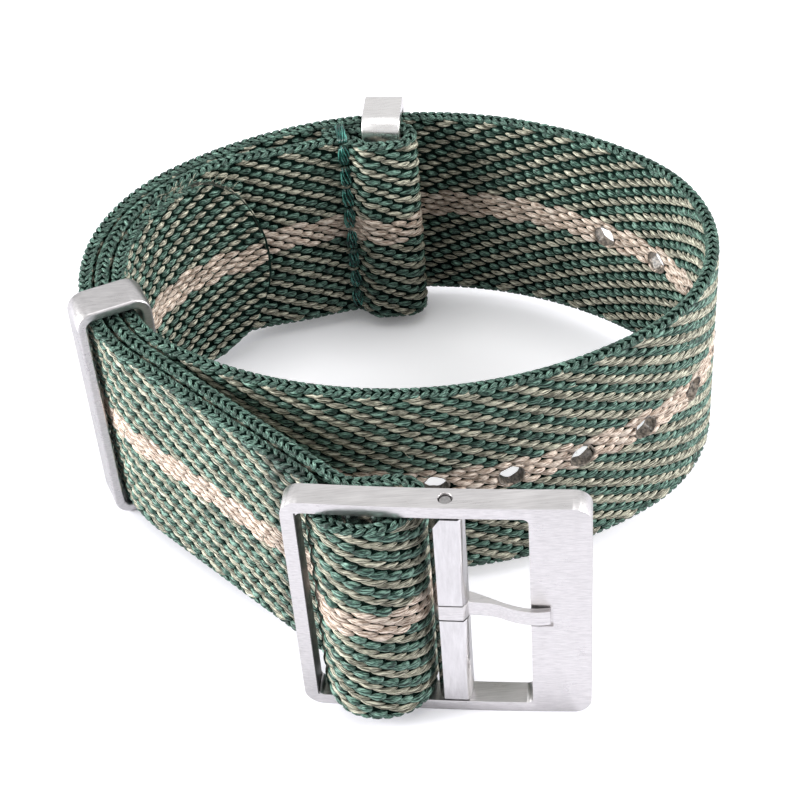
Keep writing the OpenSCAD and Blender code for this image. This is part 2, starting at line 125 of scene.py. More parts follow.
# Floats are of four kinds: green, tan in the green rows, tan in the khaki rows, and khaki.
# By kind: the yarn's number; a bluntness, which sets the widest place nearer the start the
# smaller it is; how deep the ends dive; the length and half width on each face; and the
# half thickness
YARN = np.array([0, 2, 2, 1])
BLUNT = np.array([0.66, 0.8, 0.94, 0.94])
DIVE = np.array([0.2, 0.12, 0.12, 0.13])
LONG = {1: np.array([1.66, 1.7, 1.86, 1.88]), -1: np.array([1.36, 1.7, 1.86, 1.6])}
WIDE = {1: np.array([0.305, 0.33, 0.295, 0.25]), -1: np.array([0.295, 0.33, 0.295, 0.235])}
THICK = np.array([0.22, 0.24, 0.24, 0.24])
# What is added to them on the outer face where the webbing is pulled round the left
FULL_FROM, FULL_TO, FULL_EASE = 80.0, 150.0, 4.0
FULL_LONG = np.array([-0.14, 0.0, 0.0, 0.0])
FULL_WIDE = np.array([0.07, 0.0, 0.0, -0.035])
FULL_THICK = np.array([0.03, -0.02, -0.02, -0.02])
# on the outer face of the stitched fold
FOLD_TO, FOLD_EASE = 33.0, 3.0
FOLD_LONG = np.array([-0.2, 0.0, 0.0, -0.34])
# and on the inner face towards the tail
TAIL_FROM, TAIL_EASE = 225.0, 25.0
TAIL_LONG = np.array([0.2, 0.0, 0.0, -0.2])
TAIL_WIDE = np.array([-0.02, 0.0, 0.0, 0.0])

# The selvage's lobes: on the edge each runs from a root to an end given as (out, depth under
# the edge), drawn out by BRAID_DRAWN; on a face each starts AHEAD of them and runs LOBE_RUN on
# and LOBE_RISE towards the middle of the webbing
BRAID_PITCH, BRAID_LAG, BRAID_RUN, BRAID_DRAWN = 0.74, 0.12, 0.62, 1.25
BRAID_ROOT, BRAID_END = (0.02, 0.2), (0.47, 0.25)
LOBE_AHEAD, LOBE_OUT, LOBE_DEPTH, LOBE_RUN, LOBE_RISE = 0.5, 0.42, 0.4, 1.05, 0.3
# The selvage's yarns take darker tones than the faces': painted shade on the webbing's edges
SELVAGE_SHADE_TONES = (-1.1, 0.7)

# The dark ground's share of the webbing's thickness and width
CORE_THICK, CORE_WIDE = 0.55, 0.97

# The melted rims and tip: points along them and round them, and the tip's half thickness
RIM_STEPS, RIM_ROUND = 36, 14
SEAL_STEPS, SEAL_ROUND = 60, 10
SEAL_HALF, SEAL_OUT = 0.075, 0.44

# The stitches: how many, the filaments in each and the points along them, the lowest
# stitch's foot, the height of the row, the bare end of each stitch, the half breadth and
# half depth of a bunch, and the foot, rise and half breadth of the stitch over the top edge
STITCHES, FILAMENTS, STITCH_STEPS = 8, 9, 15
ROW_FOOT, ROW_TALL, ROW_GAP = 1.85, 18.8, 0.12
BUNCH_WIDE, BUNCH_DEEP = 0.46, 0.19
OVER_FOOT, OVER_RISE, OVER_WIDE = 20.95, 0.42, 0.36
THREAD_RADIUS = 0.085

# Loose filaments in groups: number, first and last length, lowest and highest place across,
# how far out the face lies that they stand on (0: they stand on the edge) and their reach
FIBRES = [
    (120, 278.0, 286.5, 9.3, 9.9, 0.0, 1.1),
    (14, 84.6, 87.4, 6.5, 9.4, 0.62, 0.9),
    (34, 95.0, 146.0, -9.5, 9.5, 0.66, 1.1),
    (46, 150.0, 256.0, -9.5, 9.5, 0.66, 1.1),
    (24, 258.0, 284.0, -8.5, 9.0, -0.66, 1.0),
]
FIBRE_RADIUS, FIBRE_STEPS, FIBRE_ROUND = 0.026, 9, 4

# The buckle stands turned about Z; its left bar's inner face lies at LEFT_WALL along its own
# X, and has painted shade over WALL_HALF to both sides of the middle height
BUCKLE_TURN = 8.6
LEFT_WALL, WALL_NEAR, WALL_HALF = -5.034, 0.07, 10.15

# A leaf's points: so many round it, in rings at these shares of its length; PLUMP is the
# power that fills out its ends, fuller the smaller it is
AROUND = 8
RINGS = np.array([0.1, 0.3, 0.5, 0.7, 0.9])
PLUMP = 0.75

rng = np.random.default_rng(7)


def ease(u):
    """Half a cosine wave: (1 - cos(pi u)) / 2, held at 0 before u = 0 and at 1 after u = 1."""
    return (1 - np.cos(np.pi * np.clip(u, 0, 1))) / 2


def arc(centre, radius, first, last):
    """centre + radius (cos a, sin a) from first to last, in steps of about ARC_STEP, with the
    heading at each point."""
    steps = max(6, int(abs(math.radians(last - first)) * radius / ARC_STEP))
    a = np.linspace(first, last, steps + 1)
    r = np.radians(a)
    turn = 90 if last > first else -90
    return np.column_stack([centre[0] + radius * np.cos(r), centre[1] + radius * np.sin(r), a + turn])


def ply():
    """The fold's inner ply: an arc about BACK whose radius is less than the flap's by an eased
    step, from PLY_FOLD at the ring to PLY_STEP at the stitches, and to nothing at PLY_TO."""
    d = np.linspace(PLY_FROM, PLY_TO, PLY_POINTS)
    opening = ease((d - PLY_STITCH - PLY_FLAT) / (-PLY_STITCH - PLY_FLAT - PLY_OPEN))
    near = PLY_STEP + (PLY_FOLD - PLY_STEP) * opening
    far = PLY_STEP * ease((d - PLY_TO) / PLY_EASE)
    radius = FLAP_RADIUS - np.where(d > PLY_STITCH, near, far)
    a = np.radians(RING_ANGLE - DEGREES_PER_MM * d)
    points = np.column_stack([BACK[0] + radius * np.cos(a), BACK[1] + radius * np.sin(a)])
    run = np.gradient(points, axis=0)
    return np.column_stack([points, np.degrees(np.arctan2(run[:, 1], run[:, 0]))])


def middle_line():
    """All arcs and the ply one after another, without doubled points: the points, the length up
    to each of them, and the heading there."""
    runs = [arc(*row) for row in ROUTE_BEFORE_PLY] + [ply()] + [arc(*row) for row in ROUTE_AFTER_PLY]
    line = np.vstack(runs)
    step = np.linalg.norm(np.diff(line[:, :2], axis=0), axis=1)
    line = line[np.concatenate([[True], step > 1e-3])]
    length = np.concatenate([[0], np.cumsum(np.linalg.norm(np.diff(line[:, :2], axis=0), axis=1))])
    heading = np.unwrap(np.radians(line[:, 2]))
    return line[:, :2], length, heading


LINE, LENGTH, HEADING = middle_line()


def leaning(along, up):
    """How far the turn inside the buckle stands out of line at its lower edge: LEAN times the
    share of the webbing's width below its upper edge, eased in and out along the turn."""
    share = ease((along - LEAN_FROM) / LEAN_EASE) * ease((LEAN_TO - along) / LEAN_EASE)
    return LEAN * share * (WEB_MID + WEB_HALF_WIDE - up) / (2 * WEB_HALF_WIDE)


def lay(p):
    """From webbing coordinates (along, out, up) to the object's metres: the point of the middle
    line at that length, moved out along its left-hand normal, the turn swollen by SWELL to both
    sides and brought forward where it leans."""
    along, out, up = p[..., 0], p[..., 1], p[..., 2]
    h = np.interp(along, LENGTH, HEADING)
    x = np.interp(along, LENGTH, LINE[:, 0]) - out * np.sin(h)
    swell = SWELL * ease((along - LEAN_FROM) / SWELL_EASE) * ease((SWELL_TO - along) / SWELL_EASE)
    x = x + swell * (x - TURN_X) / TURN_HALF
    y = np.interp(along, LENGTH, LINE[:, 1]) + out * np.cos(h) - leaning(along, up)
    return np.stack([x, y, up], -1) * MM


def hole_offset(p):
    """Offset (along, up) from the nearest hole's centre, and its length."""
    number = np.clip(np.round((p[..., 0] - HOLE_FIRST) / HOLE_PITCH), 0, HOLE_COUNT - 1)
    off = np.stack([p[..., 0] - HOLE_FIRST - number * HOLE_PITCH, p[..., 2] - WEB_MID], -1)
    return off, np.hypot(off[..., 0], off[..., 1])


def pushed_out(p, radius):
    """The points with those nearer to a hole's centre than the radius moved straight out to it."""
    off, far = hole_offset(p)
    grow = np.where(far < radius, radius / np.maximum(far, 1e-3) - 1, 0)
    q = p.copy()
    q[..., 0] = p[..., 0] + grow * off[..., 0]
    q[..., 2] = p[..., 2] + grow * off[..., 1]
    return q


def tip_share(p):
    """How far a point is out in the half ellipse of the tail's tip: 1 on its edge, 0 before the tip."""
    x = (p[..., 0] - TIP_FROM) / TIP_LONG
    y = (p[..., 2] - WEB_MID) / WEB_HALF_WIDE
    return np.where(x > 0, np.hypot(x, y), 0)


def trimmed(p):
    """Yarns end at the melted rims: a point inside a hole's rim moves straight out to it, and one
    past TIP_INSIDE of the tip's ellipse moves back onto it."""
    share = np.maximum(tip_share(p) / TIP_INSIDE, 1)
    q = pushed_out(p, HOLE_RIM)
    q[..., 0] = np.where(share > 1, TIP_FROM + (q[..., 0] - TIP_FROM) / share, q[..., 0])
    q[..., 2] = np.where(share > 1, WEB_MID + (q[..., 2] - WEB_MID) / share, q[..., 2])
    q[..., 0] = np.clip(q[..., 0], START_CUT, WEB_END)
    return q


def kept(centre):
    """Floats whose centre lies on the webbing: not in a hole, past the tip or past an end."""
    _, far = hole_offset(centre)
    along = centre[:, 0]
    return (far > HOLE_CLEAR) & (tip_share(centre) < TIP_CLEAR) & (along > START_CLEAR) & (along < WEB_END)


def leaf_faces():
    """Quads between neighbouring rings and a fan of triangles at each point, with a UV per corner:
    U along the leaf and V once round it, with its seam underneath."""
    ring = 1 + np.arange(len(RINGS))[:, None] * AROUND
    j = np.arange(AROUND)[None, :]
    k = (j + 1) % AROUND
    quads = np.stack([ring[:-1] + j, ring[1:] + j, ring[1:] + k, ring[:-1] + k], -1).reshape(-1, 4)
    end = 1 + len(RINGS) * AROUND
    first = np.column_stack([np.zeros(AROUND, int), 1 + j[0], 1 + k[0]])
    last = np.column_stack([np.full(AROUND, end), end - AROUND + k[0], end - AROUND + j[0]])
    u = np.stack([RINGS[:-1], RINGS[1:], RINGS[1:], RINGS[:-1]], -1)
    v = np.stack([j[0], j[0], j[0] + 1, j[0] + 1], -1) / AROUND
    quad_uv = np.stack([np.repeat(u, AROUND, 0), np.tile(v, (len(RINGS) - 1, 1))], -1)
    low, high = j[0] / AROUND, (j[0] + 1) / AROUND
    ones = np.ones(AROUND)
    first_uv = np.stack([np.column_stack([0 * ones, RINGS[0] * ones, RINGS[0] * ones]),
                         np.column_stack([(low + high) / 2, low, high])], -1)
    last_uv = np.stack([np.column_stack([ones, RINGS[-1] * ones, RINGS[-1] * ones]),
                        np.column_stack([(low + high) / 2, high, low])], -1)
    return quads, np.vstack([first, last]), quad_uv, np.vstack([first_uv, last_uv])


LEAF = leaf_faces()


def leaf_points(centre, axis, out, wide, thick, blunt, dive):
    """Closed leaves in webbing coordinates. With p = sin(pi u**blunt)**PLUMP and t once round,
    a point is centre + axis (u - 1/2) - out dive (1 - p) + p (across wide sin t - out thick cos t),
    where across = axis x out, the axis taken at length 1."""
    u = np.concatenate([[0], np.repeat(RINGS, AROUND), [1]])
    t = np.concatenate([[0], np.tile(np.arange(AROUND) * 2 * np.pi / AROUND, len(RINGS)), [0]])
    p = np.clip(np.sin(np.pi * u[None] ** blunt[:, None]), 0, 1) ** PLUMP
    across = np.cross(axis / np.linalg.norm(axis, axis=1)[:, None], out)
    side = (p * np.sin(t)[None] * wide[:, None])[..., None] * across[:, None]
    rise = (p * np.cos(t)[None] * thick[:, None] + dive[:, None] * (1 - p))[..., None] * out[:, None]
    return centre[:, None] + axis[:, None] * (u - 0.5)[None, :, None] + side - rise


def mesh_piece(name, points, faces, materials, corner_uv=None, which=0, tone=0.5):
    """A mesh object from arrays: points in metres, faces as arrays of quads and triangles, one
    UV per corner (0 without them), one material number per face and one tone per point, or
    one number or tone for all."""
    mesh = bpy.data.meshes.new(name)
    loops = np.concatenate([f.ravel() for f in faces])
    sizes = np.concatenate([np.full(len(f), f.shape[1]) for f in faces])
    starts = np.concatenate([[0], np.cumsum(sizes)[:-1]])
    mesh.vertices.add(len(points))
    mesh.vertices.foreach_set("co", points.astype(np.float32).ravel())
    mesh.loops.add(len(loops))
    mesh.loops.foreach_set("vertex_index", loops.astype(np.int32))
    mesh.polygons.add(len(sizes))
    mesh.polygons.foreach_set("loop_start", starts.astype(np.int32))
    mesh.polygons.foreach_set("material_index", np.broadcast_to(which, len(sizes)).astype(np.int32))
    mesh.polygons.foreach_set("use_smooth", np.ones(len(sizes), bool))
    mesh.update(calc_edges=True)
    if corner_uv is None:
        corner_uv = [np.zeros((len(loops), 2))]
    uv = mesh.uv_layers.new(name="yarn")
    flat = np.concatenate([corners.reshape(-1, 2) for corners in corner_uv])
    uv.data.foreach_set("uv", flat.astype(np.float32).ravel())
    shade = mesh.attributes.new("tone", "FLOAT", "POINT")
    shade.data.foreach_set("value", np.broadcast_to(tone, len(points)).astype(np.float32))
    for material in materials:
        mesh.materials.append(material)
    mesh.validate()
    piece = bpy.data.objects.new(name, mesh)
    bpy.context.scene.collection.objects.link(piece)
    return piece


def yarn_piece(name, rows, materials, tones=(0.0, 1.0)):
    """One piece from rows of leaves, each leaf in its own yarn and at random between the two
    tones, darkened in the hollow behind the turn as painted shade."""
    joined = {key: np.concatenate([row[key] for row in rows]) for key in rows[0]}
    keep = kept(joined["centre"])
    part = {key: value[keep] for key, value in joined.items()}
    yarn = part.pop("yarn")
    points = lay(trimmed(leaf_points(**part)))
    count, each = points.shape[:2]
    base = (np.arange(count) * each)[:, None, None]
    quads, tris, quad_uv, tri_uv = LEAF
    faces = [(quads[None] + base).reshape(-1, 4), (tris[None] + base).reshape(-1, 3)]
    corners = [np.broadcast_to(uv, (count,) + uv.shape) for uv in (quad_uv, tri_uv)]
    which = np.concatenate([np.repeat(yarn, len(quads)), np.repeat(yarn, len(tris))])
    middle = part["centre"][:, 0]
    # Painted shade: the tone drops in the hollow behind the turn
    hollow_shade = ease((middle - HOLLOW_FROM) / HOLLOW_EASE) * ease((HOLLOW_TO - middle) / HOLLOW_EASE)
    tone = tones[0] + (tones[1] - tones[0]) * rng.random(count) - HOLLOW_SHADE * hollow_shade
    return mesh_piece(name, points.reshape(-1, 3), faces, materials, corners, which, np.repeat(tone, each))


def leaves(centre, axis, out, wide, thick, blunt, dive, yarn):
    """One row of leaves for yarn_piece; what is given once holds for every leaf."""
    n = len(centre)
    values = {"wide": wide, "thick": thick, "blunt": blunt, "dive": dive, "yarn": yarn}
    row = {key: np.broadcast_to(value, n) for key, value in values.items()}
    row["centre"] = centre
    row["axis"] = np.broadcast_to(axis, (n, 3))
    row["out"] = np.broadcast_to(out, (n, 3))
    return row


def face_floats(side, first, last):
    """The floats of one face between two lengths: row i holds khaki floats at
    phase + i SHIFT + k REPEAT, and the green rows lie half a row lower, their floats
    GREEN_AHEAD further on. Within TAN_ROWS of row TAN_MID_ROW both are tan."""
    rows = []
    for half in (0.0, 0.5):
        i = np.arange(-ROWS_EACH_WAY + (half > 0), ROWS_EACH_WAY + 1) - half
        start = FACE_PHASE[side] + (i + ROWS_EACH_WAY) * SHIFT + (GREEN_AHEAD if half else 0)
        k = np.arange(math.floor((first - ROWS_SPREAD) / REPEAT), math.ceil(last / REPEAT) + 1)
        along = (start[:, None] + k[None] * REPEAT).ravel()
        row = np.repeat(i, len(k))
        inside = (along >= first) & (along < last)
        along, row = along[inside], row[inside]
        n = len(along)
        tan = np.abs(row - TAN_MID_ROW) < TAN_ROWS
        kind = np.where(tan, 1, 0) if half else np.where(tan, 2, 3)
        hook = (half == 0) & (np.abs(row) > ROWS_EACH_WAY - 0.25)

        centre = np.column_stack([along, np.full(n, side * FLOAT_OUT), WEB_MID + row * ROW_PITCH])
        centre[:, 0] += rng.normal(0, 0.04, n) - np.where(hook, np.sign(row) * HOOK_BACK, 0)
        centre[:, 0] -= np.where(kind == 1, GREEN_AHEAD - TAN_AHEAD, 0)
        centre[:, 2] += rng.normal(0, 0.012, n) - np.where(hook, np.sign(row) * HOOK_IN, 0)

        outer = side > 0
        full = ease((along - FULL_FROM) / FULL_EASE) * ease((FULL_TO - along) / FULL_EASE) * outer
        fold = ease((FOLD_TO - along) / FOLD_EASE) * outer
        tail = ease((along - TAIL_FROM) / TAIL_EASE) * (not outer)
        long = LONG[side][kind] + FULL_LONG[kind] * full + FOLD_LONG[kind] * fold
        long = (long + TAIL_LONG[kind] * tail) * rng.normal(1, 0.04 + 0.05 * fold, n)
        wide = WIDE[side][kind] + FULL_WIDE[kind] * full + TAIL_WIDE[kind] * tail
        slant = np.interp(along, *SLANT[side])
        slant = np.select([kind == 0, hook], [slant + GREEN_SLANT, HOOK_SLANT], slant)
        rows.append(leaves(
            centre, axis=np.column_stack([long, 0 * long, slant * long]), out=(0.0, side, 0.0),
            wide=wide * rng.normal(1, 0.05, n), thick=THICK[kind] + FULL_THICK[kind] * full,
            blunt=BLUNT[kind], dive=DIVE[kind], yarn=YARN[kind]))
    return rows


def selvage_braid(edge):
    """The webbing's narrow edge: two rows of green lobes a BRAID_PITCH apart, slanting from its
    middle out to both faces, and one more row of lobes along each face."""
    k = np.arange(0, WEB_END, BRAID_PITCH)
    n = len(k)
    top = WEB_MID + edge * WEB_HALF_WIDE
    rows = []
    for side in (1, -1):
        along = k + (BRAID_LAG if side < 0 else 0) + rng.normal(0, 0.03, n)
        begin, end = [
            np.column_stack([along + run, np.full(n, side * out), np.full(n, top - edge * depth)])
            for run, (out, depth) in ((0, BRAID_ROOT), (BRAID_RUN, BRAID_END))]
        rows.append(leaves(
            (begin + end) / 2, axis=(end - begin) * BRAID_DRAWN, out=(0.0, side * 0.15, edge * 0.99),
            wide=0.17 * rng.normal(1, 0.08, n), thick=0.12, blunt=0.95, dive=0.05, yarn=0))
        face = np.column_stack([k + LOBE_AHEAD + rng.normal(0, 0.04, n), np.full(n, side * LOBE_OUT),
                                np.full(n, top - edge * LOBE_DEPTH)])
        rows.append(leaves(
            face, axis=(LOBE_RUN, 0.0, -edge * LOBE_RISE), out=(0.0, side, 0.0),
            wide=0.175 * rng.normal(1, 0.05, n), thick=0.17, blunt=0.85, dive=0.12, yarn=0))
    return rows


def webbing_coordinates(spots):
    """From X, Y and Z in millimetres to (along, out, up), by the nearest point of the middle line."""
    fine = np.arange(0, LENGTH[-1], 0.05)
    fx, fy = np.interp(fine, LENGTH, LINE[:, 0]), np.interp(fine, LENGTH, LINE[:, 1])
    near = ((spots[:, 0, None] - fx[None]) ** 2 + (spots[:, 1, None] - fy[None]) ** 2).argmin(1)
    heading = np.interp(fine[near], LENGTH, HEADING)
    dx, dy = spots[:, 0] - fx[near], spots[:, 1] - fy[near]
    along = fine[near] + dx * np.cos(heading) + dy * np.sin(heading)
    return np.column_stack([along, dy * np.cos(heading) - dx * np.sin(heading), spots[:, 2]])


def webbing_core(material):
    """The webbing's own ground between the yarns, coloured near black as painted shade in the gaps:
    the webbing's solid, pressed towards its middle line to CORE_THICK of its thickness and
    CORE_WIDE of its width, its holes widened to CORE_HOLE."""
    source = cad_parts["strap_webbing"].data
    co = np.zeros(len(source.vertices) * 3, np.float32)
    source.vertices.foreach_get("co", co)
    co = co.reshape(-1, 3).astype(float) / MM
    tri = np.zeros(len(source.loops), np.int32)
    source.loops.foreach_get("vertex_index", tri)
    spots, back = np.unique(np.round(co, 3), axis=0, return_inverse=True)
    tri = back.ravel()[tri].reshape(-1, 3)
    tri = tri[(tri[:, 0] != tri[:, 1]) & (tri[:, 1] != tri[:, 2]) & (tri[:, 0] != tri[:, 2])]
    p = webbing_coordinates(spots)
    p[:, 1] *= CORE_THICK
    p[:, 2] = WEB_MID + (p[:, 2] - WEB_MID) * CORE_WIDE
    points = lay(pushed_out(p, CORE_HOLE))
    return mesh_piece("webbing_core", points, [tri], [material], [points[tri][..., :2] / (20 * MM)])


def grid_faces(rows, columns, close_rows=True):
    """Quads of a grid, rows by columns, its columns joined end to start, and its rows too where
    they close."""
    i = np.arange(rows if close_rows else rows - 1)[:, None]
    j = np.arange(columns)[None]
    a, b = i * columns + j, ((i + 1) % rows) * columns + j
    c, d = ((i + 1) % rows) * columns + (j + 1) % columns, i * columns + (j + 1) % columns
    return np.stack([a, b, c, d], -1).reshape(-1, 4)


def hole_rims(material):
    """The melted rim of each punched hole: a ring of rounded square section through the
    webbing's thickness. At the angle a its inside radius is
    size + 0.06 cos(6 a + turn) + 0.04 cos(3 a + lump) + 0.015 cos(11 a), its outside radius
    1.13 + 0.03 cos(5 a + lump), and its half thickness 0.55 + 0.04 cos(3 a + turn)."""
    a = np.arange(RIM_STEPS) * 2 * np.pi / RIM_STEPS
    w = np.arange(RIM_ROUND) * 2 * np.pi / RIM_ROUND
    cw, sw = [np.sign(wave) * np.abs(wave) ** 0.5 for wave in (np.cos(w), np.sin(w))]
    points, faces = [], []
    for number in range(HOLE_COUNT):
        turn, lump, size = rng.random() * 6.28, rng.random() * 6.28, 0.96 + 0.04 * rng.random()
        inner = size + 0.06 * np.cos(6 * a + turn) + 0.04 * np.cos(3 * a + lump) + 0.015 * np.cos(11 * a)
        outer = 1.13 + 0.03 * np.cos(5 * a + lump)
        middle, half = (inner + outer) / 2, (outer - inner) / 2
        r = middle[:, None] + half[:, None] * cw[None]
        out = (0.55 + 0.04 * np.cos(3 * a + turn))[:, None] * sw[None]
        p = np.stack([HOLE_FIRST + number * HOLE_PITCH + r * np.cos(a)[:, None], out,
                      WEB_MID + r * np.sin(a)[:, None]], -1)
        points.append(lay(p).reshape(-1, 3))
        faces.append(grid_faces(RIM_STEPS, RIM_ROUND)[:, ::-1] + number * RIM_STEPS * RIM_ROUND)
    return mesh_piece("hole_rims", np.vstack(points), [np.vstack(faces)], [material])


def tip_seal(material):
    """The tail's melted edge: a flattened tube along the tip's half ellipse, closed at both ends.
    It is SEAL_OUT to both sides of the middle line and at the angle a
    SEAL_HALF (1 + 0.3 sin 9a sin(4a + 1)) sqrt(cos 0.995a) to both sides of the ellipse."""
    a = np.linspace(-np.pi / 2, np.pi / 2, SEAL_STEPS)
    w = np.arange(SEAL_ROUND) * 2 * np.pi / SEAL_ROUND
    lumps = 1 + 0.3 * np.sin(9 * a) * np.sin(4 * a + 1)
    half = SEAL_HALF * lumps * np.sqrt(np.clip(np.cos(a * 0.995), 0, 1))
    base = np.stack([TIP_FROM + (TIP_LONG - 0.3) * np.cos(a),
                     WEB_MID + (WEB_HALF_WIDE - 0.25) * np.sin(a)], -1)
    normal = np.stack([np.cos(a) / TIP_LONG, np.sin(a) / WEB_HALF_WIDE], -1)
    normal = normal / np.linalg.norm(normal, axis=1)[:, None]
    reach = half[:, None] * np.cos(w)[None]
    p = np.stack([base[:, 0, None] + reach * normal[:, 0, None],
                  (SEAL_OUT * np.sin(w))[None] * (half / SEAL_HALF)[:, None] ** 0.5,
                  base[:, 1, None] + reach * normal[:, 1, None]], -1)
    quads = grid_faces(SEAL_STEPS, SEAL_ROUND, close_rows=False)
    j = np.arange(1, SEAL_ROUND - 1)
    end = (SEAL_STEPS - 1) * SEAL_ROUND
    caps = np.vstack([np.column_stack([0 * j, j, j + 1]),
                      np.column_stack([0 * j + end, end + j + 1, end + j])])
    return mesh_piece("tip_seal", lay(p).reshape(-1, 3), [quads, caps], [material])


def tubes(paths, radius, around=6):
    """Closed thin tubes: circles of the given radius round each path, tapering to a point at its
    two ends. paths is (tubes, points, 3)."""
    run = np.gradient(paths, axis=1)
    run = run / np.linalg.norm(run, axis=-1)[..., None]
    guide = np.array([0.31, 0.52, 0.79])
    a = np.cross(run, guide)
    a = a / np.linalg.norm(a, axis=-1)[..., None]
    b = np.cross(run, a)
    t = np.arange(around) * 2 * np.pi / around
    number, steps = paths.shape[:2]
    taper = np.sqrt(np.clip(np.sin(np.linspace(0, np.pi, steps)) * 3, 0, 1)) * 0.98 + 0.02
    ring = np.cos(t)[:, None] * a[..., None, :] + np.sin(t)[:, None] * b[..., None, :]
    points = paths[..., None, :] + ring * (radius * taper)[None, :, None, None]
    body = grid_faces(steps, around, close_rows=False)
    j = np.arange(1, around - 1)
    end = (steps - 1) * around
    caps = np.vstack([np.column_stack([0 * j, j + 1, j]),
                      np.column_stack([0 * j + end, end + j, end + j + 1])])
    base = (np.arange(number) * steps * around)[:, None, None]
    u = np.repeat(np.arange(steps - 1), around) / (steps - 1)
    v = np.tile(np.arange(around), steps - 1) / around
    du, dv = 1 / (steps - 1), 1 / around
    uv = np.stack([np.column_stack([u, u + du, u + du, u]), np.column_stack([v, v, v + dv, v + dv])], -1)
    quads = (body[None] + base).reshape(-1, 4)
    tris = (caps[None] + base).reshape(-1, 3)
    corners = [np.tile(uv, (number, 1, 1)), np.zeros((len(tris), 3, 2))]
    return points.reshape(-1, 3), [quads, tris], corners


def fold_stitching(material):
    """Stitches down the fold's face, each a bunch of filaments: a filament lies at
    BUNCH_WIDE cos f across and BUNCH_DEEP sin f out, f turning slowly along it, the bunch
    pinched to half at both ends, where it dives into the webbing. The flap's back has the same
    stitches, flatter, and one more stitch loops over the top edge to the flap."""
    angle = math.radians(RING_ANGLE - DEGREES_PER_MM * PLY_STITCH)
    face = FLAP_RADIUS - PLY_STEP - WEB_HALF_THICK
    hidden = FLAP_RADIUS + WEB_HALF_THICK
    pitch = ROW_TALL / STITCHES
    u = np.linspace(0, 1, STITCH_STEPS)
    f = (np.arange(FILAMENTS) / FILAMENTS * 2 * np.pi)[:, None] + 1.3 * u[None]
    pinch = 0.5 + 0.5 * np.sin(np.pi * u) ** 0.7
    dip = 0.3 * (1 - np.sin(np.pi * u) ** 0.35)
    across = BUNCH_WIDE * np.cos(f) * pinch
    deep = BUNCH_DEEP * np.sin(f) * pinch - 0.04 + dip
    start = ROW_FOOT + pitch * np.arange(STITCHES)
    lean = rng.normal(0, 0.06, STITCHES)[:, None, None]
    up = start[:, None, None] + ROW_GAP + (pitch - 2 * ROW_GAP) * u[None, None] + 0 * across[None]
    side = across[None] + lean * (2 * u - 1) + rng.normal(0, 0.03, (STITCHES, FILAMENTS, 1))

    def place(out, side, up):
        """From distance from BACK, sideways offset and height to metres."""
        a = angle + side / out
        return np.stack([BACK[0] + out * np.cos(a), BACK[1] + out * np.sin(a), up], -1) * MM

    front = place(face + deep[None] + 0 * up, side, up).reshape(-1, STITCH_STEPS, 3)
    back_out = hidden - 0.12 - dip + 0.05 * np.sin(f)[None] + 0 * up
    back = place(back_out, side * 0.8, up).reshape(-1, STITCH_STEPS, 3)
    turn = np.pi * u
    middle, reach = (face + hidden) / 2, (hidden - face) / 2
    ring = 1 + 0.08 * np.sin(f)
    over_out = middle - (reach - 0.02) * np.cos(turn)[None] * ring
    over_up = OVER_FOOT + OVER_RISE * np.sin(turn)[None] * ring
    over = place(over_out, OVER_WIDE * np.cos(f), over_up)
    paths = np.concatenate([front, back, over])
    points, faces, uv = tubes(paths, THREAD_RADIUS * MM)
    tone = np.repeat(rng.random(len(paths)), len(points) // len(paths))
    return mesh_piece("fold_stitching", points, faces, [material], uv, tone=tone)


def loose_fibres(materials):
    """Single filaments that stand off the webbing: at the tail's upper corner, beside the upper
    sleeve and here and there on both faces. With b = bend sin(pi u / 2) and a random heading h,
    a filament on a face runs from its foot by reach (u cos h - b sin h) along,
    reach (u sin h + b cos h) up and lift sin(pi u) off the face; one on the edge runs along in
    the same way, 0.12 + 0.3 reach u |sin h| + lift sin(pi u) up, and reach (b + 0.3 u cos h) out."""
    feet = []
    for number, first, last, low, high, side, reach in FIBRES:
        along = rng.uniform(first, last, number)
        width = np.sqrt(1 - np.clip((along - TIP_FROM) / TIP_LONG, 0, 0.95) ** 2)
        up = WEB_MID + rng.uniform(low, high, number) * width
        out = np.full(number, side) if side else rng.uniform(-0.45, 0.45, number)
        feet.append(np.column_stack([along, out, up, np.full(number, reach), np.full(number, side)]))
    along, out, up, reach, side = np.vstack(feet).T[..., None]
    n = len(along)
    u = np.linspace(0, 1, FIBRE_STEPS)[None]
    heading = rng.uniform(0, 2 * np.pi, n)[:, None]
    reach = reach * rng.uniform(0.5, 1.2, n)[:, None]
    bend = rng.normal(0, 0.35, n)[:, None] * np.sin(np.pi * u / 2)
    lift = rng.uniform(0.03, 0.16, n)[:, None] * np.sin(np.pi * u)
    ch, sh = np.cos(heading), np.sin(heading)
    face_rise = reach * (u * sh + bend * ch)
    edge_rise = 0.12 + reach * u * 0.3 * np.abs(sh) + lift
    up = up + np.where(side != 0, face_rise, edge_rise)
    out = out + np.where(side != 0, np.sign(side) * lift, reach * (bend + 0.3 * u * ch))
    along = along + reach * (u * ch - bend * sh)
    paths = lay(np.stack([along, out, up], -1))
    points, faces, uv = tubes(paths, FIBRE_RADIUS * MM, FIBRE_ROUND)
    pick = (rng.random(n) < 0.5).astype(int)
    which = np.concatenate([np.repeat(pick, len(kind) // n) for kind in faces])
    return mesh_piece("loose_fibres", points, faces, materials, uv, which, tone=1.0)


def blank_material(name):
    """A new node material with only an output and a Principled surface."""
    material = bpy.data.materials.new(name)
    material.use_nodes = True
    tree = material.node_tree
    tree.nodes.clear()
    output = tree.nodes.new("ShaderNodeOutputMaterial")
    surface = tree.nodes.new("ShaderNodeBsdfPrincipled")
    tree.links.new(surface.outputs["BSDF"], output.inputs["Surface"])
    return material, tree, surface


